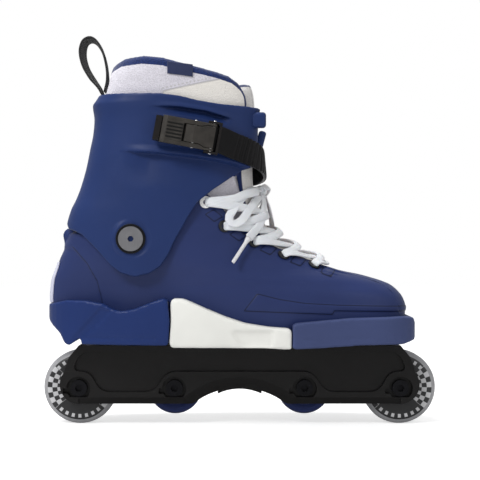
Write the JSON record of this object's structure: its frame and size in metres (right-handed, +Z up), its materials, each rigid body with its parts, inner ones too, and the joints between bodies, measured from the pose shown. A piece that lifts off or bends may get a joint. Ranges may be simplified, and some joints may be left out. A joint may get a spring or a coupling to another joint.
{
  "type": "inline skate",
  "caption": "Aggressive inline skate, right foot: hard boot with hinged cuff, padded liner, laces, ratchet buckle, soul plates and an H-block frame with large outer and small inner wheels.",
  "frame": {"origin": "on the floor under the middle of the wheelbase, half way across the wheels", "axes": "+X to the toe, +Y to the inner side of the foot, +Z up"},
  "size_m": [0.305, 0.1199, 0.3015],
  "materials": {
    "shell_plastic": "fine satin grain",
    "cuff_plastic": "fine satin grain",
    "heel_plate_plastic": "satin",
    "toe_plate_plastic": "coarse grain",
    "white_plastic": "satin",
    "strip_plastic": "gloss",
    "frame_nylon": "glass-filled nylon, satin",
    "black_plastic": "semi-gloss",
    "strap_plastic": "ribbed",
    "dark_steel": "black zinc",
    "steel": "zinc plated",
    "disc_alloy": "satin anodised",
    "terry": "terry towelling",
    "tongue_cloth": "smooth knit over foam",
    "navy_cloth": "woven label",
    "footbed_foam": "foam with cloth top",
    "webbing": "woven webbing",
    "lace_cloth": "flat braid",
    "aglet_film": "gloss",
    "eyelet_black": "black lacquer",
    "eyelet_white": "white lacquer",
    "grey_urethane": "cast urethane",
    "navy_urethane": "cast urethane",
    "hub_plastic": "glass-filled nylon",
    "navy_hub": "glass-filled nylon"
  },
  "bodies": {
    "boot": {"shell": "shell_plastic", "heel_strip": "strip_plastic", "heel_soul_plate": "heel_plate_plastic", "mid_insert": "white_plastic", "toe_soul_plate": "toe_plate_plastic", "soul_plate_screws": "dark_steel", "frame": "frame_nylon", "groove_block": "frame_nylon", "frame_bolts": "steel", "frame_bolt_washers": "steel", "frame_bolt_nuts": "steel", "liner_boot": "terry", "footbed": "footbed_foam", "tongue_lower": "tongue_cloth", "black_eyelets": "eyelet_black", "white_eyelets": "eyelet_white", "lacing": "lace_cloth", "bow_knot": "lace_cloth", "bow_loop_near": "lace_cloth", "bow_loop_far": "lace_cloth", "lace_end_near": "lace_cloth", "lace_end_far": "lace_cloth", "aglets": "aglet_film", "cuff_bolts": "disc_alloy", "cuff_bolt_rings": "black_plastic", "cuff_pivot_nuts": "steel", "axle_bolts": "dark_steel", "axle_nuts": "dark_steel", "bearing_inner_rings": "steel"},
    "cuff": {"cuff": "cuff_plastic", "liner_collar": "terry", "tongue_upper": "tongue_cloth", "liner_tag": "navy_cloth", "pull_loop": "webbing", "ladder_strap": "strap_plastic", "strap_bolt": "dark_steel", "buckle_base": "black_plastic", "lever_pin": "steel"},
    "buckle_lever": {"buckle_lever": "black_plastic", "tab_pin": "steel", "tab_spring": "steel"},
    "release_tab": {"release_tab": "black_plastic"},
    "rear_wheel": {"rear_tyre": "grey_urethane", "rear_hub": "hub_plastic", "rear_bearings": "steel"},
    "rear_inner_wheel": {"rear_inner_tyre": "navy_urethane", "rear_inner_hub": "navy_hub", "rear_inner_bearings": "steel"},
    "front_inner_wheel": {"front_inner_tyre": "navy_urethane", "front_inner_hub": "navy_hub", "front_inner_bearings": "steel"},
    "front_wheel": {"front_tyre": "grey_urethane", "front_hub": "hub_plastic", "front_bearings": "steel"}
  },
  "joints": [
    {"name": "cuff_flex", "type": "hinge", "parent": "boot", "child": "cuff", "pos_m": [-0.0815, 0, 0.1437], "axis": [0, 1, 0], "range_deg": [0, 10], "deforming": ["bow_knot", "bow_loop_near", "bow_loop_far", "lacing", "tongue_lower"]},
    {"name": "buckle_lever_lift", "type": "hinge", "parent": "cuff", "child": "buckle_lever", "pos_m": [-0.02032, -0.05635, 0.21865], "axis": [0.1801, 0.0126, 0.9836], "range_deg": [0, 75]},
    {"name": "release_tab_press", "type": "hinge", "parent": "buckle_lever", "child": "release_tab", "pos_m": [-0.03386, -0.05729, 0.22114], "axis": [-0.1801, -0.0126, -0.9836], "range_deg": [0, 6], "stiffness_Nm_per_rad": 0.02, "springref_deg": -11.46},
    {"name": "rear_wheel_spin", "type": "hinge", "parent": "boot", "child": "rear_wheel", "pos_m": [-0.124, 0, 0.0285], "axis": [0, 1, 0], "continuous": true},
    {"name": "rear_inner_wheel_spin", "type": "hinge", "parent": "boot", "child": "rear_inner_wheel", "pos_m": [-0.0502, 0, 0.0285], "axis": [0, 1, 0], "continuous": true},
    {"name": "front_inner_wheel_spin", "type": "hinge", "parent": "boot", "child": "front_inner_wheel", "pos_m": [0.0502, 0, 0.0285], "axis": [0, 1, 0], "continuous": true},
    {"name": "front_wheel_spin", "type": "hinge", "parent": "boot", "child": "front_wheel", "pos_m": [0.124, 0, 0.0285], "axis": [0, 1, 0], "continuous": true}
  ]
}
